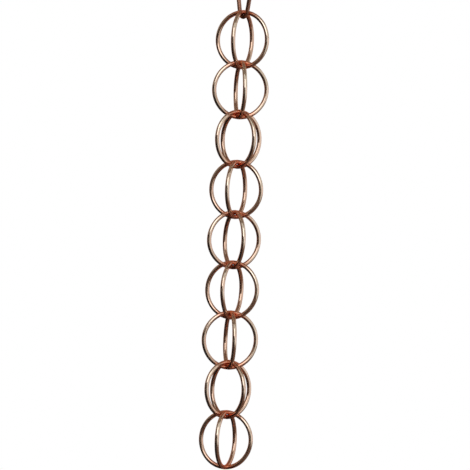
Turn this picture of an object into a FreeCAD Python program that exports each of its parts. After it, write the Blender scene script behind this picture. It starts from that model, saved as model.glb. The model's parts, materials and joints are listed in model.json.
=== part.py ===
import FreeCAD, Part
import math
import os

from FreeCAD import Vector

# A copper rain chain of double-loop links under a V-shaped gutter hook.
# The origin is on the chain's axis at the level of the gutter's floor, where the hook's feet rest.
# +X runs along the feet, +Z is up, and the chain hangs down along -Z.

# Driving dimensions, in millimetres and degrees
WIRE_DIAMETER = 4.1
LINK_HEIGHT = 57.0
LINK_WIDTH = 55.0
CROSSING_ANGLE = 90.0
BRAZE_GAP = 0.05
SEAT_CLEARANCE = 0.4

# Turn of each link's hoop about the chain's axis, from the top link down
LINK_TURNS = (44.0, 75.0, 101.5, 45.0, 85.5, 44.0, 75.0, 101.5, 45.0)

# The hook: a U-bend under the top link's crossing, two spread legs and two level feet
HOOK_HEIGHT = 100.0
HOOK_LEG_SPREAD = 17.0
HOOK_SIDE_ROOM = 1.4
FOOT_LENGTH = 25.0
FOOT_BEND_INSIDE = 6.0
FOOT_END_ROUNDING = 0.6

# Sizes worked out from the driving dimensions
WIRE_RADIUS = WIRE_DIAMETER / 2.0
FOOT_BEND_RADIUS = FOOT_BEND_INSIDE + WIRE_RADIUS
SEAT_DISTANCE = WIRE_DIAMETER + SEAT_CLEARANCE

# A loop is a near-round oval of four tangent arcs, measured along the middle of its wire.
# Its arcs at the crossings have an ellipse's radius there, and meet the side arcs at JOIN_ANGLE.
HALF_HEIGHT = (LINK_HEIGHT - WIRE_DIAMETER) / 2.0
HALF_WIDTH = (LINK_WIDTH - WIRE_DIAMETER) / 2.0
CROSSING_RADIUS = HALF_WIDTH ** 2 / HALF_HEIGHT
SIDE_RADIUS = HALF_HEIGHT * (HALF_WIDTH + HALF_HEIGHT) / (2.0 * HALF_WIDTH)
JOIN_ANGLE = math.degrees(math.atan2(2.0 * HALF_WIDTH * (HALF_WIDTH + HALF_HEIGHT),
                                     HALF_HEIGHT * (HALF_HEIGHT + 2.0 * HALF_WIDTH)))


def nearest_arm_angle(upper_turn, lower_turn):
    """Smallest angle between the arms of two crossings that lie one on the other."""
    upper_arms = (upper_turn, upper_turn + CROSSING_ANGLE)
    lower_arms = (lower_turn, lower_turn + CROSSING_ANGLE)
    gaps = [(low - high) % 180.0 for low in lower_arms for high in upper_arms]
    return min(min(gap, 180.0 - gap) for gap in gaps)


def seat_height(arm_angle):
    """Height of a link's top crossing above the bottom crossing that carries it, centre to centre.

    Arms that stand well apart let the crossings meet at their middles. Arms that are closer
    than that meet part-way out, where both loops have curved towards each other, and hold the
    lower link a little higher.
    """
    share = math.sin(math.radians(arm_angle) / 2.0) ** 2
    if SEAT_DISTANCE <= 2.0 * CROSSING_RADIUS * share:
        return SEAT_DISTANCE
    spare = 4.0 * CROSSING_RADIUS ** 2 - SEAT_DISTANCE ** 2 / share
    return 2.0 * CROSSING_RADIUS - math.sqrt((1.0 - share) * spare)


def arc_edge(centre, radius, start, end):
    """Arc in the XZ plane between two angles, measured from +X towards +Z."""
    points = []
    for angle in (start, (start + end) / 2.0, end):
        offset = Vector(math.cos(math.radians(angle)), 0.0, math.sin(math.radians(angle)))
        points.append(centre + offset * radius)
    return Part.Arc(*points).toShape()


def line_edge(start, end):
    """Straight edge between two points."""
    return Part.LineSegment(start, end).toShape()


def sweep(edges, wire_radius):
    """Round wire swept along a smooth run of edges."""
    first = edges[0]
    start = first.valueAt(first.FirstParameter)
    heading = first.tangentAt(first.FirstParameter)
    section = Part.Wire(Part.makeCircle(wire_radius, start, heading))
    return Part.Wire(edges).makePipeShell([section], True, True)


def crossing_arc(centre_height, start, end):
    """Arc of a loop at its top crossing, or at its bottom crossing for angles below zero."""
    upward = math.copysign(1.0, start + end)
    arc_centre_height = centre_height + upward * (HALF_HEIGHT - CROSSING_RADIUS)
    return arc_edge(Vector(0.0, 0.0, arc_centre_height), CROSSING_RADIUS, start, end)


def side_arc(centre_height, middle):
    """Arc of a loop at its right side, with its middle at 0 degrees, or at its left, at 180."""
    offset = (HALF_WIDTH - SIDE_RADIUS) * math.cos(math.radians(middle))
    centre = Vector(offset, 0.0, centre_height)
    return arc_edge(centre, SIDE_RADIUS, middle - JOIN_ANGLE, middle + JOIN_ANGLE)


def turned(shape, turn):
    """A shape turned about the chain's axis."""
    shape.rotate(Vector(0.0, 0.0, 0.0), Vector(0.0, 0.0, 1.0), turn)
    return shape


def hoop(turn, centre_height, wire_radius):
    """One upright wire loop whose plane holds the chain's axis."""
    loop = [
        side_arc(centre_height, 0.0),
        crossing_arc(centre_height, JOIN_ANGLE, 180.0 - JOIN_ANGLE),
        side_arc(centre_height, 180.0),
        crossing_arc(centre_height, JOIN_ANGLE - 180.0, -JOIN_ANGLE),
    ]
    return turned(sweep(loop, wire_radius), turn)


def bow(turn, centre_height):
    """The half of an upright loop that bulges towards a turn, from the bottom crossing to the top."""
    half_loop = [
        crossing_arc(centre_height, -90.0, -JOIN_ANGLE),
        side_arc(centre_height, 0.0),
        crossing_arc(centre_height, JOIN_ANGLE, 90.0),
    ]
    return turned(sweep(half_loop, WIRE_RADIUS), turn)


def link(turn, centre_height):
    """A link: a whole hoop, and two bows coped to its wire and brazed on at both crossings."""
    cope = hoop(turn, centre_height, WIRE_RADIUS + BRAZE_GAP)
    left_turn = turn + CROSSING_ANGLE
    return {
        "hoop": hoop(turn, centre_height, WIRE_RADIUS),
        "bow_left": bow(left_turn, centre_height).cut(cope),
        "bow_right": bow(left_turn + 180.0, centre_height).cut(cope),
    }


def hook_bend_radius():
    """Radius of the U-bend, so that its sides pass the top link's arms with room to spare."""
    arm_angle = nearest_arm_angle(0.0, LINK_TURNS[0])
    side = (WIRE_DIAMETER + HOOK_SIDE_ROOM) / math.sin(math.radians(arm_angle))
    return (side ** 2 + SEAT_DISTANCE ** 2) / (2.0 * SEAT_DISTANCE)


def hook(bend_height):
    """The bent wire hook, swept along its centreline from the left foot's end to the right's."""
    bend = hook_bend_radius()
    spread = math.radians(HOOK_LEG_SPREAD)
    foot_height = bend_height + HOOK_HEIGHT

    leg_bottom_x = bend * math.cos(spread)
    leg_bottom_z = bend_height + bend * (1.0 - math.sin(spread))
    leg_top_z = foot_height - FOOT_BEND_RADIUS * (1.0 - math.sin(spread))
    leg_top_x = leg_bottom_x + (leg_top_z - leg_bottom_z) * math.tan(spread)
    foot_start_x = leg_top_x + FOOT_BEND_RADIUS * math.cos(spread)
    foot_end_x = foot_start_x + FOOT_LENGTH

    bend_centre = Vector(0.0, 0.0, bend_height + bend)
    left_centre = Vector(-foot_start_x, 0.0, foot_height - FOOT_BEND_RADIUS)
    right_centre = Vector(foot_start_x, 0.0, foot_height - FOOT_BEND_RADIUS)
    left_end = Vector(-foot_end_x, 0.0, foot_height)
    wire = sweep([
        line_edge(left_end, Vector(-foot_start_x, 0.0, foot_height)),
        arc_edge(left_centre, FOOT_BEND_RADIUS, 90.0, HOOK_LEG_SPREAD),
        line_edge(Vector(-leg_top_x, 0.0, leg_top_z), Vector(-leg_bottom_x, 0.0, leg_bottom_z)),
        arc_edge(bend_centre, bend, 180.0 + HOOK_LEG_SPREAD, 360.0 - HOOK_LEG_SPREAD),
        line_edge(Vector(leg_bottom_x, 0.0, leg_bottom_z), Vector(leg_top_x, 0.0, leg_top_z)),
        arc_edge(right_centre, FOOT_BEND_RADIUS, 180.0 - HOOK_LEG_SPREAD, 90.0),
        line_edge(Vector(foot_start_x, 0.0, foot_height), Vector(foot_end_x, 0.0, foot_height)),
    ], WIRE_RADIUS)
    end_rims = [edge for edge in wire.Edges if edge.BoundBox.XLength < BRAZE_GAP
                and abs(edge.CenterOfMass.x) > foot_end_x - FOOT_END_ROUNDING]
    return wire.makeFillet(FOOT_END_ROUNDING, end_rims)


def save(name, shape):
    """Write one piece."""
    shape.exportStep("parts/" + name + ".step")


os.makedirs("parts", exist_ok=True)

foot_underside = 0.0
hook_bend_height = foot_underside + WIRE_RADIUS - HOOK_HEIGHT
save("hanger", hook(hook_bend_height))

top_crossing_height = hook_bend_height + SEAT_DISTANCE
for index, turn in enumerate(LINK_TURNS):
    centre_height = top_crossing_height - HALF_HEIGHT
    for piece, shape in link(turn, centre_height).items():
        save("link_%d_%s" % (index + 1, piece), shape)
    if index + 1 < len(LINK_TURNS):
        bottom_crossing_height = centre_height - HALF_HEIGHT
        arm_angle = nearest_arm_angle(turn, LINK_TURNS[index + 1])
        top_crossing_height = bottom_crossing_height + seat_height(arm_angle)
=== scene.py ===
"""Looks of a copper rain chain: double-loop links below a V-shaped gutter hook.

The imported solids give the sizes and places. Every wire is swept again as a fine mesh along its
own solid, the brazed crossings get their metal, and a small studio lights the chain from above the
camera, with cards around it that the polished wire reflects.
"""

import json
import logging
import math
from dataclasses import dataclass, field
from enum import Enum

import bpy
import numpy as np
from mathutils import Matrix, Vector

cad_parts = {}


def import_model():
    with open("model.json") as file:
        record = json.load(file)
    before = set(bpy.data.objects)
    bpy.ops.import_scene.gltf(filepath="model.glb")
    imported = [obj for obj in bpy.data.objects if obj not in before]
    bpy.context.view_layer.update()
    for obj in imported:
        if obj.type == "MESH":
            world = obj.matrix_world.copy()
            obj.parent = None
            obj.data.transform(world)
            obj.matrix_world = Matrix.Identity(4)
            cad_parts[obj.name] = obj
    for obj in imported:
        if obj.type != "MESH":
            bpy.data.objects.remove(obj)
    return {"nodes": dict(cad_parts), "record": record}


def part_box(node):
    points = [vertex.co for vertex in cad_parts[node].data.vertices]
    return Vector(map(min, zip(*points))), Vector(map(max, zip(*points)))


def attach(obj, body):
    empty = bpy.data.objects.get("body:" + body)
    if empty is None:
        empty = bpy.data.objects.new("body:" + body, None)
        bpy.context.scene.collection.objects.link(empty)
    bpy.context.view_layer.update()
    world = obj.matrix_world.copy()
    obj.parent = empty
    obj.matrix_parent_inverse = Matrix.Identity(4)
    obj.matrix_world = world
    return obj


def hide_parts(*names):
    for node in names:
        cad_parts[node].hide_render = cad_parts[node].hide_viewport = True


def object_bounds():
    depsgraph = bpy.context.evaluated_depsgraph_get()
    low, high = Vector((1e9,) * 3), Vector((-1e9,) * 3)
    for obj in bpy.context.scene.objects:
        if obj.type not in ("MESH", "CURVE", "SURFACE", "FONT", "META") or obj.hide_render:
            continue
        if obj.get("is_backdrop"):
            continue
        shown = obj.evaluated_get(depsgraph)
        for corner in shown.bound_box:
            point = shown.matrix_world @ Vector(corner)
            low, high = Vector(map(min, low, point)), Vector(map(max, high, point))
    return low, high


LOG = logging.getLogger("rain_chain")
MILLIMETRE = 0.001
WIRE_UV = "wire_uv"
HEAT_ATTRIBUTE = "braze_heat"
UP = np.array([0.0, 0.0, 1.0])


class Side(Enum):
    """The two half loops of a link, by the sign of their bulge along the left bow's direction."""

    LEFT = 1.0
    RIGHT = -1.0


class Pole(Enum):
    """The two crossings of a link, by the sign of their height above its centre."""

    TOP = 1.0
    BOTTOM = -1.0


def level(turn: float) -> np.ndarray:
    """Level unit vector at a turn about the chain's axis.

    Args:
        turn: angle from +X towards +Y, in radians.

    Returns:
        The unit vector, as an array of three numbers.
    """
    return np.array([math.cos(turn), math.sin(turn), 0.0])


@dataclass
class WireGrid:
    """A round wire as a grid of points: rows run along the wire, columns run around it.

    Attributes:
        points: array of rows by columns by 3, in metres.
        heat: how near each row is to a brazed crossing, from 0 to 1, one value a point.
        length: length of the wire, in metres, for its UV map.
        closed: True where the last row joins the first.
    """

    points: np.ndarray
    heat: np.ndarray
    length: float
    closed: bool

    @property
    def spans(self) -> int:
        """Number of steps from row to row: a closed wire has one more, back to its first row."""
        rows = self.points.shape[0]
        return rows if self.closed else rows - 1

    def faces(self) -> np.ndarray:
        """Quads between neighbouring rows and columns.

        Returns:
            Four indices into the flat point list for each quad.
        """
        rows, columns = self.points.shape[:2]
        row, column = np.meshgrid(np.arange(self.spans), np.arange(columns), indexing="ij")
        next_row = (row + 1) % rows
        next_column = (column + 1) % columns
        corners = (row * columns + column, next_row * columns + column,
                   next_row * columns + next_column, row * columns + next_column)
        return np.stack(corners, axis=-1).reshape(-1, 4)

    def face_uvs(self) -> np.ndarray:
        """UV of every quad's corners.

        Returns:
            Metres along the wire and turns around it, one row a corner.
        """
        columns = self.points.shape[1]
        row, column = np.meshgrid(np.arange(self.spans), np.arange(columns), indexing="ij")
        along = np.stack([row, row + 1, row + 1, row], axis=-1) / self.spans * self.length
        around = np.stack([column, column, column + 1, column + 1], axis=-1) / columns
        return np.stack([along, around], axis=-1).reshape(-1, 2)

    def mesh(self, name: str) -> bpy.types.Mesh:
        """Mesh of the wire, with its ends closed by fans, a UV map and the heat attribute.

        Args:
            name: the mesh's name.

        Returns:
            The new mesh, in the part's own frame.
        """
        rows, columns = self.points.shape[:2]
        vertices = self.points.reshape(-1, 3)
        heat = self.heat.reshape(-1)
        faces = self.faces().tolist()
        uvs = self.face_uvs()
        if not self.closed:
            ends = self.points[[0, -1]].mean(axis=1)
            vertices = np.concatenate([vertices, ends])
            heat = np.concatenate([heat, [self.heat[0].mean(), self.heat[-1].mean()]])
            ring = np.arange(columns)
            last = (rows - 1) * columns
            ahead = (ring + 1) % columns
            middle = np.full(columns, rows * columns)
            first_fan = np.stack([ring, ahead, middle], axis=-1)
            last_fan = np.stack([last + ahead, last + ring, middle + 1], axis=-1)
            faces += first_fan.tolist() + last_fan.tolist()
            fan_uvs = np.zeros((len(first_fan) * 3 + len(last_fan) * 3, 2))
            fan_uvs[len(first_fan) * 3:, 0] = self.length
            uvs = np.concatenate([uvs, fan_uvs])
        mesh = bpy.data.meshes.new(name)
        mesh.from_pydata(vertices.tolist(), [], faces)
        layer = mesh.uv_layers.new(name=WIRE_UV)
        layer.data.foreach_set("uv", uvs.astype(np.float32).ravel())
        attribute = mesh.attributes.new(HEAT_ATTRIBUTE, "FLOAT", "POINT")
        attribute.data.foreach_set("value", heat.astype(np.float32))
        mesh.shade_smooth()
        return mesh


def outward(mesh: bpy.types.Mesh) -> bpy.types.Mesh:
    """Turns a closed mesh right side out when its signed volume is negative.

    The signed volume is the sum, over all triangles, of the triple product of their corners
    divided by six.

    Args:
        mesh: a closed mesh.

    Returns:
        The same mesh.
    """
    mesh.calc_loop_triangles()
    corners = np.empty(len(mesh.loop_triangles) * 3, np.int32)
    mesh.loop_triangles.foreach_get("vertices", corners)
    places = np.empty(len(mesh.vertices) * 3, np.float32)
    mesh.vertices.foreach_get("co", places)
    first, second, third = np.moveaxis(places.reshape(-1, 3)[corners.reshape(-1, 3)], 1, 0)
    volume = np.einsum("ij,ij->i", first, np.cross(second, third)).sum() / 6.0
    if volume < 0.0:
        mesh.flip_normals()
    return mesh


def add_piece(mesh: bpy.types.Mesh, body: str, finish: bpy.types.Material) -> bpy.types.Object:
    """Puts a finished mesh into the scene and lets it ride on a body.

    Args:
        mesh: the piece's mesh, in the part's own frame.
        body: name of the body that carries it.
        finish: its material.

    Returns:
        The new object, at the origin.
    """
    piece = bpy.data.objects.new(mesh.name, outward(mesh))
    mesh.materials.append(finish)
    bpy.context.scene.collection.objects.link(piece)
    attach(piece, body)
    LOG.info("piece %s on %s, %d faces", piece.name, body, len(mesh.polygons))
    return piece


def node_points(node: bpy.types.Object) -> np.ndarray:
    """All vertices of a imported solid's mesh.

    Args:
        node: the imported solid.

    Returns:
        Places in metres, one row a vertex.
    """
    places = np.empty(len(node.data.vertices) * 3, np.float32)
    node.data.vertices.foreach_get("co", places)
    return places.reshape(-1, 3).astype(float)


@dataclass(frozen=True)
class Oval:
    """The centre line of a loop: a near-round oval of four tangent arcs.

    Attributes:
        half_width: half its level measure, in metres.
        half_height: half its upright measure, in metres.
    """

    half_width: float
    half_height: float

    @property
    def crossing_radius(self) -> float:
        """Radius of the arcs at the crossings: that of an ellipse there."""
        return self.half_width ** 2 / self.half_height

    @property
    def side_radius(self) -> float:
        """Radius of the side arcs, which the arcs at the crossings run into without a kink."""
        return self.half_height * (self.half_width + self.half_height) / (2.0 * self.half_width)

    @property
    def join(self) -> float:
        """Angle from the top crossing's normal to the normal where two arcs meet, in radians."""
        total = self.half_width + self.half_height
        return math.atan2(self.half_height * (total + self.half_width), 2.0 * self.half_width * total)

    @property
    def length(self) -> float:
        """Length of the whole loop: four times both arcs of a quarter."""
        quarter = self.crossing_radius * self.join + self.side_radius * (math.pi / 2.0 - self.join)
        return 4.0 * quarter

    def place(self, angle: np.ndarray) -> tuple[np.ndarray, np.ndarray]:
        """Points of the oval by the angle of its normal from the top.

        A point is its arc's centre plus the arc's radius times (sin angle, cos angle). The arcs at
        the crossings have their centres on the upright axis, the side arcs theirs on the level one.

        Args:
            angle: angles from the top, in radians.

        Returns:
            Level and upright offsets from the oval's centre.
        """
        sine, cosine = np.sin(angle), np.cos(angle)
        at_crossing = np.abs(sine) < math.sin(self.join)
        level_centre = np.sign(sine) * (self.half_width - self.side_radius)
        upright_centre = np.sign(cosine) * (self.half_height - self.crossing_radius)
        across = np.where(at_crossing, self.crossing_radius * sine,
                          level_centre + self.side_radius * sine)
        upward = np.where(at_crossing, upright_centre + self.crossing_radius * cosine,
                          self.side_radius * cosine)
        return across, upward


@dataclass
class Link:
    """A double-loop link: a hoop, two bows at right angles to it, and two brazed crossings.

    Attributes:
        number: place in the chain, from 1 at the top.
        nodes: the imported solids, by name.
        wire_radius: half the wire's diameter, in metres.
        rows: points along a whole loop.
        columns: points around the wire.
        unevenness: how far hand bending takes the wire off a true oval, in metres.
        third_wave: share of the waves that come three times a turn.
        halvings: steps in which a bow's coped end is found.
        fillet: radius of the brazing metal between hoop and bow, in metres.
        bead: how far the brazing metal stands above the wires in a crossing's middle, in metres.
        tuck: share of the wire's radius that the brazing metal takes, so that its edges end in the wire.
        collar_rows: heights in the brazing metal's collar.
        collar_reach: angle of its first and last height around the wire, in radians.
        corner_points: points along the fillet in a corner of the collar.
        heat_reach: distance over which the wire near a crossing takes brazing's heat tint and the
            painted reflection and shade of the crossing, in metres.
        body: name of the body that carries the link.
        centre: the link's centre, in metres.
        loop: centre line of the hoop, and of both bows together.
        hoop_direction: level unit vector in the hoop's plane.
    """

    number: int
    nodes: dict[str, bpy.types.Object]
    wire_radius: float
    rows: int = 288
    columns: int = 32
    unevenness: float = 0.14 * MILLIMETRE
    third_wave: float = 0.6
    halvings: int = 40
    fillet: float = 3.0 * MILLIMETRE
    bead: float = 0.13 * MILLIMETRE
    tuck: float = 0.99
    collar_rows: int = 25
    collar_reach: float = 0.49 * math.pi
    corner_points: int = 13
    heat_reach: float = 14.5 * MILLIMETRE
    body: str = field(init=False)
    centre: np.ndarray = field(init=False)
    loop: Oval = field(init=False)
    hoop_direction: np.ndarray = field(init=False)

    def __post_init__(self) -> None:
        """Reads the link's centre, turn and loop from its hoop's solid."""
        self.body = f"link_{self.number}"
        places = node_points(self.nodes[self.node("hoop")])
        low, high = places.min(axis=0), places.max(axis=0)
        self.centre = np.array([0.0, 0.0, (low[2] + high[2]) / 2.0])
        spread, axes = np.linalg.eigh(np.cov(places[:, :2].T))
        self.hoop_direction = np.append(axes[:, np.argmax(spread)], 0.0)
        half_width = np.ptp(places @ self.hoop_direction) / 2.0 - self.wire_radius
        self.loop = Oval(half_width, (high[2] - low[2]) / 2.0 - self.wire_radius)

    def node(self, piece: str) -> str:
        """Name of one of the link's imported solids."""
        return f"{self.body}_{piece}"

    def bow_direction(self, side: Side) -> np.ndarray:
        """Direction in which a bow bulges, from the middle of its solid.

        Args:
            side: which of the two bows.

        Returns:
            A level unit vector.
        """
        middle = node_points(self.nodes[self.node(f"bow_{side.name.lower()}")]).mean(axis=0)
        middle[2] = 0.0
        return middle / np.linalg.norm(middle)

    def heat(self, angle: np.ndarray) -> np.ndarray:
        """Closeness to a crossing: exp(-(s / reach) ** 4) of the distance s along the wire to it.

        Args:
            angle: angles of the oval's normal from the top crossing.

        Returns:
            Values from 0 to 1, of the same shape.
        """
        from_top = np.abs((angle + math.pi) % (2.0 * math.pi) - math.pi)
        distance = self.loop.crossing_radius * np.minimum(from_top, math.pi - from_top)
        return np.exp(-(distance / self.heat_reach) ** 4)

    def wire(self, angle: np.ndarray, around: np.ndarray, bulge: np.ndarray, seed: int) -> np.ndarray:
        """Surface of a loop's wire.

        The centre line is the oval in the plane of the bulge and up. The wire's section adds
        r (cos around outward + sin around sideways). Hand bending moves the wire by two and three
        waves a turn, faded by the squared sine of the angle so that the crossings stay in place.

        Args:
            angle: angle of the oval's normal from the top crossing, rows by columns.
            around: angle around the wire, of the same shape.
            bulge: level direction of the loop's plane.
            seed: number that sets the phases of the unevenness.

        Returns:
            Points, rows by columns by 3.
        """
        phases = np.random.default_rng(seed).uniform(0.0, 2.0 * math.pi, 3)
        fade = self.unevenness * np.sin(angle) ** 2
        third = self.third_wave * np.cos(3.0 * angle + phases[1])
        swell = fade * (np.cos(2.0 * angle + phases[0]) + third)
        sway = fade * np.sin(3.0 * angle + phases[2])
        across, upward = self.loop.place(angle)
        outward_part = swell + self.wire_radius * np.cos(around)
        sideways_part = sway + self.wire_radius * np.sin(around)
        level_part = across + outward_part * np.sin(angle)
        upright_part = upward + outward_part * np.cos(angle)
        return (self.centre + level_part[..., None] * bulge + upright_part[..., None] * UP
                + sideways_part[..., None] * np.cross(UP, bulge))

    def hoop(self) -> WireGrid:
        """The whole loop: angles once round from the top crossing.

        Returns:
            The loop's wire.
        """
        turn = np.arange(self.rows) / self.rows * 2.0 * math.pi
        section = np.arange(self.columns) / self.columns * 2.0 * math.pi
        angle, around = np.meshgrid(turn, section, indexing="ij")
        points = self.wire(angle, around, self.hoop_direction, 3 * self.number)
        return WireGrid(points, self.heat(angle), self.loop.length, closed=True)

    def cope(self, around: np.ndarray) -> np.ndarray:
        """Angle at which each line along a bow meets the hoop's wire.

        A point of the bow is (R + r cos around) from the centre of the arc at the crossing and
        r sin around beside the bow's plane. Its distance from the hoop's own arc grows with the angle
        from the crossing, so halving an interval, two wires wide at first, finds where that distance
        equals the wire's radius.

        Args:
            around: angles around the bow's wire.

        Returns:
            One angle from the crossing for each of them.
        """
        radius = self.loop.crossing_radius
        reach = radius + self.wire_radius * np.cos(around)
        beside = self.wire_radius * np.sin(around)
        low = np.zeros_like(around)
        high = np.full_like(around, 4.0 * self.wire_radius / radius)
        for _ in range(self.halvings):
            middle = (low + high) / 2.0
            in_hoop_plane = np.hypot(beside, reach * np.cos(middle)) - radius
            distance = np.hypot(in_hoop_plane, reach * np.sin(middle))
            inside = distance < self.wire_radius
            low = np.where(inside, middle, low)
            high = np.where(inside, high, middle)
        return low

    def bow(self, side: Side) -> WireGrid:
        """A half loop from the top crossing to the bottom one, with both ends coped to the hoop.

        Args:
            side: which of the two bows.

        Returns:
            The bow's wire.
        """
        section = np.arange(self.columns) / self.columns * 2.0 * math.pi
        start = self.cope(section)
        share = np.linspace(0.0, 1.0, self.rows // 2 + 1)[:, None]
        angle = start * (1.0 - share) + (math.pi - start) * share
        around = np.broadcast_to(section, angle.shape)
        seed = 3 * self.number + (1 if side is Side.LEFT else 2)
        points = self.wire(angle, around, self.bow_direction(side), seed)
        return WireGrid(points, self.heat(angle), self.loop.length / 2.0, closed=False)

    def braze(self, pole: Pole) -> WireGrid:
        """The brazing metal at a crossing: a collar with a hollow fillet in each of the four corners.

        At a height h from the wire's centre the wires are w = sqrt(r r - h h) wide to each side. A
        corner's fillet is the arc of radius f = w F / r about (w + f, w + f), and the arcs of the four
        corners make one closed line. Lines at all heights make the collar, which bends down with
        the loops: by R - sqrt(R R - s s) at a distance s from the middle. In the middle it swells by a
        bead, which fades with exp(-(s / r) (s / r)). The collar is a little smaller than the wires all
        round, so that its edges end in them.

        Args:
            pole: which of the link's two crossings.

        Returns:
            The collar as a grid, with heights as rows.
        """
        heights = np.linspace(-self.collar_reach, self.collar_reach, self.collar_rows)
        arc = np.linspace(0.0, math.pi / 2.0, self.corner_points)
        half = self.tuck * self.wire_radius * np.cos(heights)[:, None]
        fillet = half * self.fillet / self.wire_radius
        across = half + fillet * (1.0 - np.cos(arc))
        along = half + fillet * (1.0 - np.sin(arc))
        corner = np.stack([across, along], axis=-1)
        quarter = np.array([[0.0, -1.0], [1.0, 0.0]])
        corners = [corner @ np.linalg.matrix_power(quarter, k) for k in range(4)]
        flat = np.concatenate(corners, axis=1)
        distance = np.hypot(flat[..., 0], flat[..., 1])
        radius = self.loop.crossing_radius
        drop = radius - np.sqrt(radius ** 2 - distance ** 2)
        swell = self.bead * np.exp(-(distance / self.wire_radius) ** 2)
        thick = self.tuck * self.wire_radius + swell
        lift = thick * np.sin(heights)[:, None] - drop
        bow = np.cross(UP, self.hoop_direction)
        place = self.centre + pole.value * self.loop.half_height * UP
        points = (place + flat[..., :1] * self.hoop_direction + flat[..., 1:] * bow
                  + pole.value * lift[..., None] * UP)
        return WireGrid(points, np.ones(points.shape[:2]), 2.0 * self.wire_radius, closed=False)

    def build(self, wire: bpy.types.Material, braze: bpy.types.Material) -> None:
        """Makes the link's pieces in place of its solids, and its brazed crossings.

        Args:
            wire: finish of the drawn wire.
            braze: finish of the brazing metal.
        """
        hoop = add_piece(self.hoop().mesh(f"{self.body}_hoop_wire"), self.body, wire)
        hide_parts(self.node("hoop"))
        for side in Side:
            name = f"bow_{side.name.lower()}"
            bow = add_piece(self.bow(side).mesh(f"{self.body}_{name}_wire"), self.body, wire)
            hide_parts(self.node(name))
        for pole in Pole:
            name = f"{self.body}_braze_{pole.name.lower()}"
            add_piece(self.braze(pole).mesh(name), self.body, braze)


@dataclass
class Hook:
    """The bent wire that hangs the chain in a gutter: feet, spread legs and a U-bend.

    Attributes:
        solid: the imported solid.
        mount: the record's right-hand foot mount.
        wire_radius: half the wire's diameter, in metres.
        spread: angle of each leg from upright, in radians.
        foot_bend: mean radius of the bend between leg and foot, in metres.
        rounding: radius at the cut ends, in metres.
        step: distance between rows along the wire, in metres.
        bend_rows: rows along each half of the U-bend.
        foot_rows: rows along the bend between leg and foot.
        cut_rows: rows along the rounding of a cut end.
        columns: points around the wire.
    """

    solid: bpy.types.Object
    mount: dict
    wire_radius: float
    spread: float = math.radians(17.0)
    foot_bend: float = 8.05 * MILLIMETRE
    rounding: float = 0.6 * MILLIMETRE
    step: float = 0.8 * MILLIMETRE
    bend_rows: int = 40
    foot_rows: int = 32
    cut_rows: int = 8
    columns: int = 32

    def centreline(self) -> tuple[np.ndarray, np.ndarray]:
        """Right half of the wire's centre line, from the bottom of the U-bend to the foot's end.

        An arc of the U-bend turns from level to the leg's slope, a straight leg follows, an arc of
        the foot's bend turns back to level, and the foot is straight. The U-bend's radius is the one
        with which the leg reaches the foot where the record puts it.

        Returns:
            Places (x, z) and headings, the angle of the line above level, one row a point.
        """
        places = node_points(self.solid)
        bottom = places[:, 2].min() + self.wire_radius
        foot_z = self.mount["pos_m"][2]
        half_foot = self.mount["dims"]["length_mm"] * MILLIMETRE / 2.0
        foot_x = self.mount["pos_m"][0] - half_foot
        end_x = places[:, 0].max()
        sine, cosine, slope = math.sin(self.spread), math.cos(self.spread), math.tan(self.spread)
        top_x = foot_x - self.foot_bend * cosine
        top_z = foot_z - self.foot_bend * (1.0 - sine)
        bend = (top_x - (top_z - bottom) * slope) / (cosine - (1.0 - sine) * slope)
        leg_x, leg_z = bend * cosine, bottom + bend * (1.0 - sine)
        turn = math.pi / 2.0 - self.spread

        heading = np.linspace(0.0, turn, self.bend_rows)
        u_bend = np.stack([bend * np.sin(heading), bottom + bend * (1.0 - np.cos(heading))], axis=-1)
        count = int(math.hypot(top_x - leg_x, top_z - leg_z) / self.step)
        share = np.linspace(0.0, 1.0, count + 1)[1:-1, None]
        leg = np.array([leg_x, leg_z]) * (1.0 - share) + np.array([top_x, top_z]) * share
        falling = np.linspace(turn, 0.0, self.foot_rows)
        foot_turn = np.stack([foot_x - self.foot_bend * np.sin(falling),
                              foot_z - self.foot_bend * (1.0 - np.cos(falling))], axis=-1)
        reach = np.linspace(foot_x, end_x, int((end_x - foot_x) / self.step) + 1)[1:]
        quarter = np.linspace(0.0, math.pi / 2.0, self.cut_rows)
        cut = end_x - self.rounding * (1.0 - np.sin(quarter))
        reach = np.concatenate([reach[reach < cut[0]], cut])
        foot = np.stack([reach, np.full_like(reach, foot_z)], axis=-1)
        line = np.concatenate([u_bend, leg, foot_turn, foot])
        headings = np.concatenate([heading, np.full(len(leg), turn), falling, np.zeros(len(foot))])
        return line, headings

    def wire(self) -> WireGrid:
        """The whole wire, left foot to right foot.

        Each row is a circle square to the centre line. Near a cut end its radius falls by a quarter
        circle of the rounding's size.

        Returns:
            The hook's wire.
        """
        line, headings = self.centreline()
        mirrored = line[:0:-1] * np.array([-1.0, 1.0])
        line = np.concatenate([mirrored, line])
        headings = np.concatenate([-headings[:0:-1], headings])
        from_end = np.minimum(line[:, 0].max() - line[:, 0], line[:, 0] - line[:, 0].min())
        short = np.clip(self.rounding - from_end, 0.0, self.rounding)
        radius = self.wire_radius - self.rounding + np.sqrt(self.rounding ** 2 - short ** 2)
        around = np.arange(self.columns) / self.columns * 2.0 * math.pi
        centre = np.stack([line[:, 0], np.zeros(len(line)), line[:, 1]], axis=-1)
        square = np.stack([-np.sin(headings), np.zeros(len(line)), np.cos(headings)], axis=-1)
        side = np.array([0.0, 1.0, 0.0])
        circle = (np.cos(around)[None, :, None] * square[:, None, :]
                  + np.sin(around)[None, :, None] * side)
        points = centre[:, None, :] + radius[:, None, None] * circle
        length = np.linalg.norm(np.diff(line, axis=0), axis=1).sum()
        return WireGrid(points, np.zeros(points.shape[:2]), length, closed=False)

    def build(self, wire: bpy.types.Material) -> None:
        """Makes the hook's wire in place of its solid.

        Args:
            wire: finish of the drawn wire.
        """
        piece = add_piece(self.wire().mesh("hanger_wire"), "hanger", wire)
        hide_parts("hanger")


Colour = tuple[float, float, float]


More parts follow.
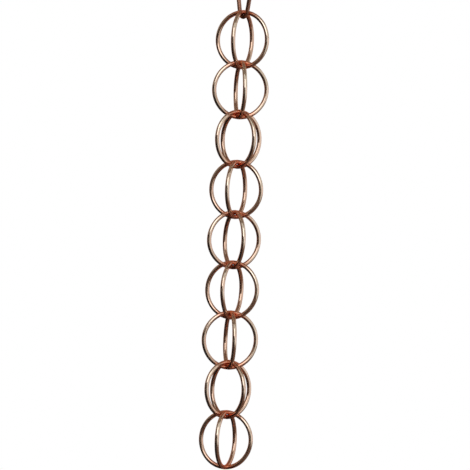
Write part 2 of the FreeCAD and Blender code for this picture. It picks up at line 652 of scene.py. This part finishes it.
def opaque(colour: Colour) -> tuple[float, float, float, float]:
    """A colour with an alpha of 1, as colour sockets take it."""
    return (*colour, 1.0)


@dataclass
class NodeDesk:
    """A node tree under construction, with short ways to add and join nodes.

    Attributes:
        tree: the tree.
    """

    tree: bpy.types.NodeTree

    def add(self, kind: str, inputs: dict | None = None, **settings: object) -> bpy.types.Node:
        """Adds a node, sets its properties, and links or sets its inputs.

        Args:
            kind: Blender's name for the node type.
            inputs: values or output sockets by input name or index.
            settings: properties of the node.

        Returns:
            The new node.
        """
        node = self.tree.nodes.new(kind)
        for name, value in settings.items():
            setattr(node, name, value)
        for name, value in (inputs or {}).items():
            if isinstance(value, bpy.types.NodeSocket):
                self.tree.links.new(value, node.inputs[name])
            else:
                node.inputs[name].default_value = value
        return node

    def math(self, operation: str, first: object, second: object = 0.0) -> bpy.types.NodeSocket:
        """Output of a Math node on two values or sockets."""
        return self.add("ShaderNodeMath", {0: first, 1: second}, operation=operation).outputs[0]

    def noise(self, place: object, scale: object, detail: float,
              roughness: float) -> bpy.types.NodeSocket:
        """Factor output of a Noise Texture."""
        inputs = {"Vector": place, "Scale": scale, "Detail": detail, "Roughness": roughness}
        return self.add("ShaderNodeTexNoise", inputs).outputs[0]

    def remap(self, value: object, source: tuple[float, float],
              target: tuple) -> bpy.types.NodeSocket:
        """Smooth step of a value from one range to another."""
        inputs = {0: value, 1: source[0], 2: source[1], 3: target[0], 4: target[1]}
        return self.add("ShaderNodeMapRange", inputs, interpolation_type="SMOOTHSTEP").outputs[0]

    def mix(self, share: object, first: object, second: object) -> bpy.types.NodeSocket:
        """Mix of two colours."""
        inputs = {0: share, 6: first, 7: second}
        return self.add("ShaderNodeMix", inputs, data_type="RGBA").outputs[2]


# Noise values, or cosines around the wire, between which a pattern fades in
PATCH_EDGE: tuple[float, float] = (0.42, 0.68)
# Cosines around the wire between which the painted shade on the wire's inner side fades in
INNER_SHADE_EDGE: tuple[float, float] = (0.5, -0.6)
LICK_EDGE: tuple[float, float] = (0.3, 0.7)
SMUDGE_EDGE: tuple[float, float] = (0.35, 0.7)
# Least and most share of the red at a crossing, partly heat tint and partly painted reflection and
# shade, and its licks to each patch of the darker colour
LICK_SHARE: tuple[float, float] = (0.66, 1.0)
LICKS_IN_PATCH = 3.0
# Drawing lines to a metre along the wire, and how strongly they bend its normals
DRAWN_RUN = 60.0
DRAWN_STRENGTH = 0.5


def new_group(name: str, inputs: dict[str, str],
              outputs: dict[str, str]) -> tuple[NodeDesk, dict, bpy.types.Node]:
    """Starts a shader node group.

    Args:
        name: the group's name.
        inputs: socket types by input name.
        outputs: socket types by output name.

    Returns:
        A desk for the group's tree, its input sockets by name, and its output node.
    """
    tree = bpy.data.node_groups.new(name, "ShaderNodeTree")
    for socket, kind in inputs.items():
        tree.interface.new_socket(name=socket, in_out="INPUT", socket_type=kind)
    for socket, kind in outputs.items():
        tree.interface.new_socket(name=socket, in_out="OUTPUT", socket_type=kind)
    desk = NodeDesk(tree)
    entry = desk.add("NodeGroupInput")
    return desk, {socket: entry.outputs[socket] for socket in inputs}, desk.add("NodeGroupOutput")


def drawn_lines_group() -> bpy.types.NodeTree:
    """Fine lines that the drawing die leaves along the wire.

    The pattern is noise at (along times Run, cos around times Lines, sin around times Lines), so it
    is stretched along the wire and closes around it.

    Returns:
        The group, which puts out a height.
    """
    desk, given, result = new_group(
        "drawn_lines",
        {"UV": "NodeSocketVector", "Run": "NodeSocketFloat", "Lines": "NodeSocketFloat"},
        {"Height": "NodeSocketFloat"})
    parts = desk.add("ShaderNodeSeparateXYZ", {0: given["UV"]})
    turn = desk.math("MULTIPLY", parts.outputs[1], 2.0 * math.pi)
    along = desk.math("MULTIPLY", parts.outputs[0], given["Run"])
    across = desk.math("MULTIPLY", desk.math("COSINE", turn), given["Lines"])
    beside = desk.math("MULTIPLY", desk.math("SINE", turn), given["Lines"])
    place = desk.add("ShaderNodeCombineXYZ", {0: along, 1: across, 2: beside}).outputs[0]
    height = desk.noise(place, scale=1.0, detail=4.0, roughness=0.6)
    desk.tree.links.new(height, result.inputs["Height"])
    return desk.tree


def copper_tone_and_shade_group() -> bpy.types.NodeTree:
    """Colour of bright copper with darker patches, and red near the brazed crossings that is partly heat
    tint and partly painted reflection and shade.

    The inner side of the wire, where the cosine of the angle around the wire falls below zero, takes
    more of the patches' darker colour as painted shade and reflection of the wires it faces.

    Returns:
        The group, which puts out a colour.
    """
    desk, given, result = new_group(
        "copper_toning",
        {"Position": "NodeSocketVector", "UV": "NodeSocketVector", "Heat": "NodeSocketFloat",
         "Patch": "NodeSocketFloat", "Toning": "NodeSocketFloat", "Inward": "NodeSocketFloat",
         "Bright": "NodeSocketColor", "Toned": "NodeSocketColor", "Flame": "NodeSocketColor"},
        {"Color": "NodeSocketColor"})
    blots = desk.noise(given["Position"], given["Patch"], detail=3.0, roughness=0.5)
    patches = desk.remap(blots, PATCH_EDGE, (0.0, 1.0))
    around = desk.add("ShaderNodeSeparateXYZ", {0: given["UV"]}).outputs[1]
    outside = desk.math("COSINE", desk.math("MULTIPLY", around, 2.0 * math.pi))
    # Painted shade: the inner side of the wire, which faces the other wires, takes more of the darker
    # colour.
    inside = desk.remap(outside, INNER_SHADE_EDGE, (0.0, given["Inward"]))
    share = desk.math("MAXIMUM", desk.math("MULTIPLY", patches, given["Toning"]), inside)
    toned = desk.mix(share, given["Bright"], given["Toned"])
    finer = desk.math("MULTIPLY", given["Patch"], LICKS_IN_PATCH)
    tongues = desk.noise(given["Position"], finer, detail=3.0, roughness=0.5)
    licks = desk.remap(tongues, LICK_EDGE, LICK_SHARE)
    # Near a crossing the colour turns red: partly brazing's heat tint, partly painted reflection and
    # shade of the crossing wires.
    colour = desk.mix(desk.math("MULTIPLY", licks, given["Heat"]), toned, given["Flame"])
    desk.tree.links.new(colour, result.inputs["Color"])
    return desk.tree


def handling_group() -> bpy.types.NodeTree:
    """Roughness of a handled surface: smudges from a low to a high value, and dull scorched metal.

    Returns:
        The group, which puts out a roughness.
    """
    desk, given, result = new_group(
        "handling",
        {"Position": "NodeSocketVector", "Smudge": "NodeSocketFloat", "Low": "NodeSocketFloat",
         "High": "NodeSocketFloat", "Heat": "NodeSocketFloat", "Scorched": "NodeSocketFloat"},
        {"Roughness": "NodeSocketFloat"})
    smudges = desk.noise(given["Position"], given["Smudge"], detail=6.0, roughness=0.62)
    rough = desk.remap(smudges, SMUDGE_EDGE, (given["Low"], given["High"]))
    duller = desk.math("MULTIPLY", given["Heat"], desk.math("SUBTRACT", given["Scorched"], rough))
    desk.tree.links.new(desk.math("ADD", rough, duller), result.inputs["Roughness"])
    return desk.tree


@dataclass
class CopperGroups:
    """The effects that all copper finishes share, each built once.

    Attributes:
        lines: fine drawing lines.
        toning: colours of the metal.
        handling: smudges and scorched metal.
    """

    lines: bpy.types.NodeTree = field(default_factory=drawn_lines_group)
    toning: bpy.types.NodeTree = field(default_factory=copper_tone_and_shade_group)
    handling: bpy.types.NodeTree = field(default_factory=handling_group)


@dataclass(frozen=True)
class CopperFinish:
    """A copper surface.

    Attributes:
        name: the material's name.
        bright: colour of the clean metal.
        toned: colour of its darker patches, and of the painted shade on the wire's inner side.
        flame: colour at the crossings, partly the heat tint that brazing leaves and partly painted
            reflection and shade of the crossing wires.
        toning: share of the toned patches, from 0 to 1.
        inward: share of the darker colour painted as shade on the inner side of the wire's bends, from 0
            to 1.
        patch: patches in a metre.
        smudge: smudges in a metre.
        rough_low: roughness of the clean metal.
        rough_high: roughness of a smudge.
        rough_scorched: roughness where brazing has scorched the metal.
        lines: number that sets how many drawing lines run along the wire.
        groove: depth of the drawing lines, in metres.
    """

    name: str
    bright: Colour
    toned: Colour
    flame: Colour
    toning: float
    inward: float
    patch: float
    smudge: float
    rough_low: float
    rough_high: float
    rough_scorched: float
    lines: float
    groove: float

    def material(self, groups: CopperGroups) -> bpy.types.Material:
        """Builds the material.

        Args:
            groups: the shared effects.

        Returns:
            The new material.
        """
        material = bpy.data.materials.new(self.name)
        material.use_nodes = True
        material.node_tree.nodes.clear()
        desk = NodeDesk(material.node_tree)
        position = desk.add("ShaderNodeTexCoord").outputs["Object"]
        uv = desk.add("ShaderNodeUVMap", uv_map=WIRE_UV).outputs["UV"]
        heat = desk.add("ShaderNodeAttribute", attribute_name=HEAT_ATTRIBUTE).outputs["Fac"]
        toning = desk.add("ShaderNodeGroup", {
            "Position": position, "UV": uv, "Heat": heat, "Patch": self.patch, "Toning": self.toning,
            "Inward": self.inward, "Bright": opaque(self.bright), "Toned": opaque(self.toned),
            "Flame": opaque(self.flame)}, node_tree=groups.toning)
        handling = desk.add("ShaderNodeGroup", {
            "Position": position, "Smudge": self.smudge, "Low": self.rough_low, "High": self.rough_high,
            "Heat": heat, "Scorched": self.rough_scorched}, node_tree=groups.handling)
        lines = desk.add("ShaderNodeGroup", {
            "UV": uv, "Run": DRAWN_RUN, "Lines": self.lines}, node_tree=groups.lines)
        bump = desk.add("ShaderNodeBump", {
            "Strength": DRAWN_STRENGTH, "Distance": self.groove, "Height": lines.outputs["Height"]})
        shader = desk.add("ShaderNodeBsdfPrincipled", {
            "Base Color": toning.outputs["Color"], "Metallic": 1.0,
            "Roughness": handling.outputs["Roughness"], "Normal": bump.outputs["Normal"]})
        desk.add("ShaderNodeOutputMaterial", {"Surface": shader.outputs[0]})
        LOG.info("finish %s", self.name)
        return material


# The polished wire's inward share paints shade on the inner side of its loops, and its red at the
# crossings is partly painted reflection and shade.
POLISHED_WIRE = CopperFinish(
    name="polished_copper_wire", bright=(0.81, 0.65, 0.53), toned=(0.66, 0.42, 0.31),
    flame=(0.88, 0.29, 0.155), toning=0.45, inward=0.75, patch=70.0, smudge=500.0, rough_low=0.05,
    rough_high=0.12, rough_scorched=0.30, lines=10.0, groove=0.004 * MILLIMETRE)
# The hook's wire is coloured far darker and redder than the links' wire, and is rougher.
HOOK_WIRE = CopperFinish(
    name="dull_hook_wire", bright=(0.42, 0.22, 0.155), toned=(0.28, 0.135, 0.095),
    flame=(0.72, 0.22, 0.11), toning=0.7, inward=0.0, patch=90.0, smudge=700.0, rough_low=0.30,
    rough_high=0.46, rough_scorched=0.46, lines=10.0, groove=0.01 * MILLIMETRE)
# The brazing metal's reds are partly its heat tint and partly painted reflection and shade of the
# crossing wires.
BRAZING_METAL = CopperFinish(
    name="brazing_metal", bright=(0.74, 0.32, 0.20), toned=(0.50, 0.17, 0.095),
    flame=(0.86, 0.28, 0.15), toning=0.5, inward=0.0, patch=260.0, smudge=1500.0, rough_low=0.25,
    rough_high=0.40, rough_scorched=0.36, lines=5.0, groove=0.02 * MILLIMETRE)


@dataclass(frozen=True)
class Flag:
    """A card beside the set, seen only in the metal's reflections.

    Attributes:
        name: the card's name.
        low: one corner's offset (right, up, towards the camera) from the chain's middle, in metres.
        high: the opposite corner's. It shares one of the three numbers with the first.
        shade: its colour.
    """

    name: str
    low: tuple[float, float, float]
    high: tuple[float, float, float]
    shade: Colour


DARK_CARD: Colour = (0.012, 0.008, 0.007)
UMBER_CARD: Colour = (0.15, 0.08, 0.055)
RUST_CARD: Colour = (0.50, 0.20, 0.08)
DIM_CARD: Colour = (0.27, 0.225, 0.18)
PALE_CARD: Colour = (0.79, 0.82, 0.78)
# How far the cards stand from the chain's middle to all four sides, above and below, in metres
WALL = 2.2
ROOF = 2.0
SKIRT = -0.5
GROUND = -0.46


@dataclass(frozen=True)
class Softbox:
    """A soft rectangular lamp that points at the chain's middle.

    Attributes:
        name: the lamp's name.
        off_axis: angle between the lamp and the camera, seen from the chain, in radians.
        turn: angle of that offset above the camera's right, in radians.
        distance: from the chain's middle, in metres.
        sides: its measures along the offset and across it, in metres.
        watts: its power.
    """

    name: str
    off_axis: float
    turn: float
    distance: float
    sides: tuple[float, float]
    watts: float


KEY_SOFTBOX = Softbox(
    name="key_softbox", off_axis=math.radians(28.0), turn=math.radians(90.0), distance=2.5,
    sides=(1.45, 1.5), watts=9.2)
FLOOR_SHADE: Colour = (0.90, 0.90, 0.89)


@dataclass
class Studio:
    """Camera, lamp, cards, floor and background.

    The camera stands where the photograph was taken from: two of its pixels fix the scale, the roll
    and the framing.

    Attributes:
        top: centre of the top link, in metres.
        bottom: centre of the bottom link, in metres.
        lowest: height of the chain's lowest point, in metres.
        view_turn: turn of the camera's right-hand direction about the chain's axis, in radians.
        image_size: side of the photograph, in pixels.
        top_pixel: where the photograph shows the top link's centre.
        bottom_pixel: where it shows the bottom link's centre.
        distance: from the camera to the chain, in metres.
        sensor: width of the camera's sensor, in millimetres.
        floor_drop: from the chain's lowest point down to the floor, in metres.
        floor_reach: radius of the floor, in metres.
        floor_corners: corners round the floor's edge.
        matt: roughness of the floor and the cards.
        fill: strength of the world's light on matt surfaces.
        flags: the cards.
    """

    top: np.ndarray
    bottom: np.ndarray
    lowest: float
    view_turn: float = math.radians(65.0)
    image_size: float = 470.0
    top_pixel: tuple[float, float] = (242.4, 39.7)
    bottom_pixel: tuple[float, float] = (225.7, 439.7)
    distance: float = 4.0
    sensor: float = 36.0
    floor_drop: float = 0.30
    floor_reach: float = 4.5
    floor_corners: int = 96
    matt: float = 0.9
    fill: float = 0.85
    flags: tuple[Flag, ...] = (
        Flag("flag_front_far_left", (-WALL, 0.15, WALL), (-1.3, ROOF, WALL), DARK_CARD),
        Flag("flag_front_left_middle", (-1.3, 0.15, WALL), (-0.7, 0.5, WALL), DARK_CARD),
        Flag("flag_front_left_upper", (-1.3, 0.5, WALL), (-0.7, ROOF, WALL), PALE_CARD),
        Flag("flag_front_left_lower", (-WALL, SKIRT, WALL), (-0.7, 0.15, WALL), DIM_CARD),
        Flag("flag_front_middle", (-0.7, 0.15, WALL), (0.0, 0.5, WALL), DIM_CARD),
        Flag("flag_front_lower", (-0.7, SKIRT, WALL), (0.45, 0.15, WALL), DARK_CARD),
        Flag("flag_front_right_lower", (0.45, SKIRT, WALL), (WALL, 0.15, WALL), PALE_CARD),
        Flag("flag_front_right_upper", (0.7, 0.15, WALL), (WALL, ROOF, WALL), PALE_CARD),
        Flag("flag_left_front", (-WALL, SKIRT, 0.0), (-WALL, 0.5, WALL), DARK_CARD),
        Flag("flag_left_back", (-WALL, SKIRT, -WALL), (-WALL, 0.5, 0.0), UMBER_CARD),
        Flag("flag_left_upper", (-WALL, 0.5, -WALL), (-WALL, ROOF, WALL), DIM_CARD),
        Flag("flag_right_back", (WALL, SKIRT, -WALL), (WALL, 0.5, -0.9), RUST_CARD),
        Flag("flag_right_upper", (WALL, 0.5, -WALL), (WALL, ROOF, WALL), PALE_CARD),
        Flag("flag_back", (-WALL, SKIRT, -WALL), (WALL, ROOF, -WALL), RUST_CARD),
        Flag("flag_above_front", (-WALL, ROOF, 1.0), (WALL, ROOF, WALL), PALE_CARD),
        Flag("flag_above_back", (-WALL, ROOF, -WALL), (WALL, ROOF, 1.0), DIM_CARD),
        Flag("flag_below_left", (-WALL, GROUND, -WALL), (0.0, GROUND, WALL), DARK_CARD),
        Flag("flag_below_middle", (0.0, GROUND, -WALL), (0.7, GROUND, WALL), UMBER_CARD),
        Flag("flag_below_right_front", (0.7, GROUND, 0.4), (WALL, GROUND, WALL), PALE_CARD),
        Flag("flag_below_right_back", (0.7, GROUND, -WALL), (WALL, GROUND, 0.4), DIM_CARD),
    )

    @property
    def right(self) -> np.ndarray:
        """Level direction to the camera's right."""
        return level(self.view_turn)

    @property
    def towards(self) -> np.ndarray:
        """Level direction from the chain to the camera."""
        return level(self.view_turn - math.pi / 2.0)

    def place(self, offset: tuple[float, float, float]) -> np.ndarray:
        """A place given by its offset from the chain's middle to the right, up and to the camera."""
        middle = (self.top + self.bottom) / 2.0
        return middle + offset[0] * self.right + offset[1] * UP + offset[2] * self.towards

    def camera(self) -> None:
        """Sets a long lens at the photograph's angle, rolled so that the chain leans as there."""
        lean = np.array(self.top_pixel) - np.array(self.bottom_pixel)
        roll = math.atan2(lean[0], -lean[1])
        scale = np.linalg.norm(self.top - self.bottom) / np.linalg.norm(lean)
        across = math.cos(roll) * self.right + math.sin(roll) * UP
        upward = math.cos(roll) * UP - math.sin(roll) * self.right
        offset = (np.array(self.top_pixel) - self.image_size / 2.0) * scale
        aim = self.top - offset[0] * across + offset[1] * upward
        data = bpy.data.cameras.new("photo_camera")
        data.sensor_width = self.sensor
        data.lens = self.sensor * self.distance / (self.image_size * scale)
        camera = bpy.data.objects.new("photo_camera", data)
        turn = Matrix((across, upward, self.towards)).transposed().to_4x4()
        camera.matrix_world = Matrix.Translation(aim + self.distance * self.towards) @ turn
        bpy.context.scene.collection.objects.link(camera)
        bpy.context.scene.camera = camera

    def world(self) -> None:
        """White for the camera and in reflections, and a dim fill for everything else."""
        world = bpy.data.worlds.new("studio")
        world.use_nodes = True
        world.node_tree.nodes.clear()
        desk = NodeDesk(world.node_tree)
        path = desk.add("ShaderNodeLightPath").outputs
        seen = desk.math("MAXIMUM", path["Is Camera Ray"], path["Is Glossy Ray"])
        seen = desk.math("MAXIMUM", seen, path["Is Transmission Ray"])
        strength = desk.remap(seen, (0.0, 1.0), (self.fill, 1.0))
        sky = desk.add("ShaderNodeBackground", {"Color": opaque((1.0, 1.0, 1.0)), "Strength": strength})
        desk.add("ShaderNodeOutputWorld", {"Surface": sky.outputs[0]})
        bpy.context.scene.world = world

    def lamp(self, softbox: Softbox) -> None:
        """Adds a lamp.

        Its axis is sin(off_axis) times the offset's direction plus cos(off_axis) times the direction
        to the camera.

        Args:
            softbox: the lamp's place, size and power.
        """
        sine, cosine = math.sin(softbox.off_axis), math.cos(softbox.off_axis)
        offset = math.cos(softbox.turn) * self.right + math.sin(softbox.turn) * UP
        facing = sine * offset + cosine * self.towards
        along = cosine * offset - sine * self.towards
        data = bpy.data.lights.new(softbox.name, "AREA")
        data.shape = "RECTANGLE"
        data.size, data.size_y = softbox.sides
        data.energy = softbox.watts
        lamp = bpy.data.objects.new(softbox.name, data)
        axes = Matrix((along, np.cross(facing, along), facing)).transposed().to_4x4()
        place = self.place((0.0, 0.0, 0.0)) + softbox.distance * facing
        lamp.matrix_world = Matrix.Translation(place) @ axes
        lamp.visible_camera = False
        bpy.context.scene.collection.objects.link(lamp)

    def panel(self, name: str, corners: np.ndarray, shade: Colour) -> bpy.types.Object:
        """Adds a flat stage piece with a matt material.

        Args:
            name: the piece's name.
            corners: its corners in order.
            shade: its colour.

        Returns:
            The new object.
        """
        mesh = bpy.data.meshes.new(name)
        mesh.from_pydata(corners.tolist(), [], [range(len(corners))])
        material = bpy.data.materials.new(name)
        material.use_nodes = True
        shader = material.node_tree.nodes["Principled BSDF"]
        shader.inputs["Base Color"].default_value = opaque(shade)
        shader.inputs["Roughness"].default_value = self.matt
        mesh.materials.append(material)
        panel = bpy.data.objects.new(name, mesh)
        bpy.context.scene.collection.objects.link(panel)
        panel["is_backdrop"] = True
        return panel

    def flag(self, flag: Flag) -> None:
        """Stands a card by the set: its corners step from the low to the high one, side by side.

        Args:
            flag: the card's place and colour.
        """
        low, high = np.array(flag.low), np.array(flag.high)
        first, second = np.nonzero(high - low)[0]
        offsets = np.tile(low, (4, 1))
        offsets[1:3, first] = high[first]
        offsets[2:, second] = high[second]
        corners = np.array([self.place(offset) for offset in offsets])
        panel = self.panel(flag.name, corners, flag.shade)
        panel.visible_camera = False
        panel.visible_shadow = False
        panel.visible_diffuse = False

    def floor(self) -> None:
        """A plain pale floor below the chain, which takes its shadow."""
        height = self.lowest - self.floor_drop
        turns = np.arange(self.floor_corners) / self.floor_corners * 2.0 * math.pi
        circle = np.stack([np.cos(turns), np.sin(turns), np.zeros_like(turns)], axis=-1)
        self.panel("floor", self.floor_reach * circle + height * UP, FLOOR_SHADE)

    def build(self) -> None:
        """Sets up everything round the chain."""
        bpy.context.scene.view_settings.view_transform = "Standard"
        self.camera()
        self.world()
        self.floor()
        self.lamp(KEY_SOFTBOX)
        for flag in self.flags:
            self.flag(flag)


def main() -> None:
    """Builds the chain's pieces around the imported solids, then the studio."""
    logging.basicConfig(level=logging.INFO, format="%(name)s: %(message)s")
    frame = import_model()
    cad_box = [list(corner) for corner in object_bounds()]
    nodes = frame["nodes"]
    mounts = {mount["name"]: mount for mount in frame["record"]["mounts"]}
    groups = CopperGroups()
    wire = POLISHED_WIRE.material(groups)
    hook_wire = HOOK_WIRE.material(groups)
    braze = BRAZING_METAL.material(groups)

    low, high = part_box("hanger")
    wire_radius = (high.y - low.y) / 2.0
    Hook(nodes["hanger"], mounts["foot_right"], wire_radius).build(hook_wire)
    count = sum(name.endswith("_hoop") for name in nodes)
    links = [Link(number, nodes, wire_radius) for number in range(1, count + 1)]
    for link in links:
        link.build(wire, braze)
    Studio(links[0].centre, links[-1].centre, cad_box[0][2]).build()


if __name__ == "__main__":
    main()
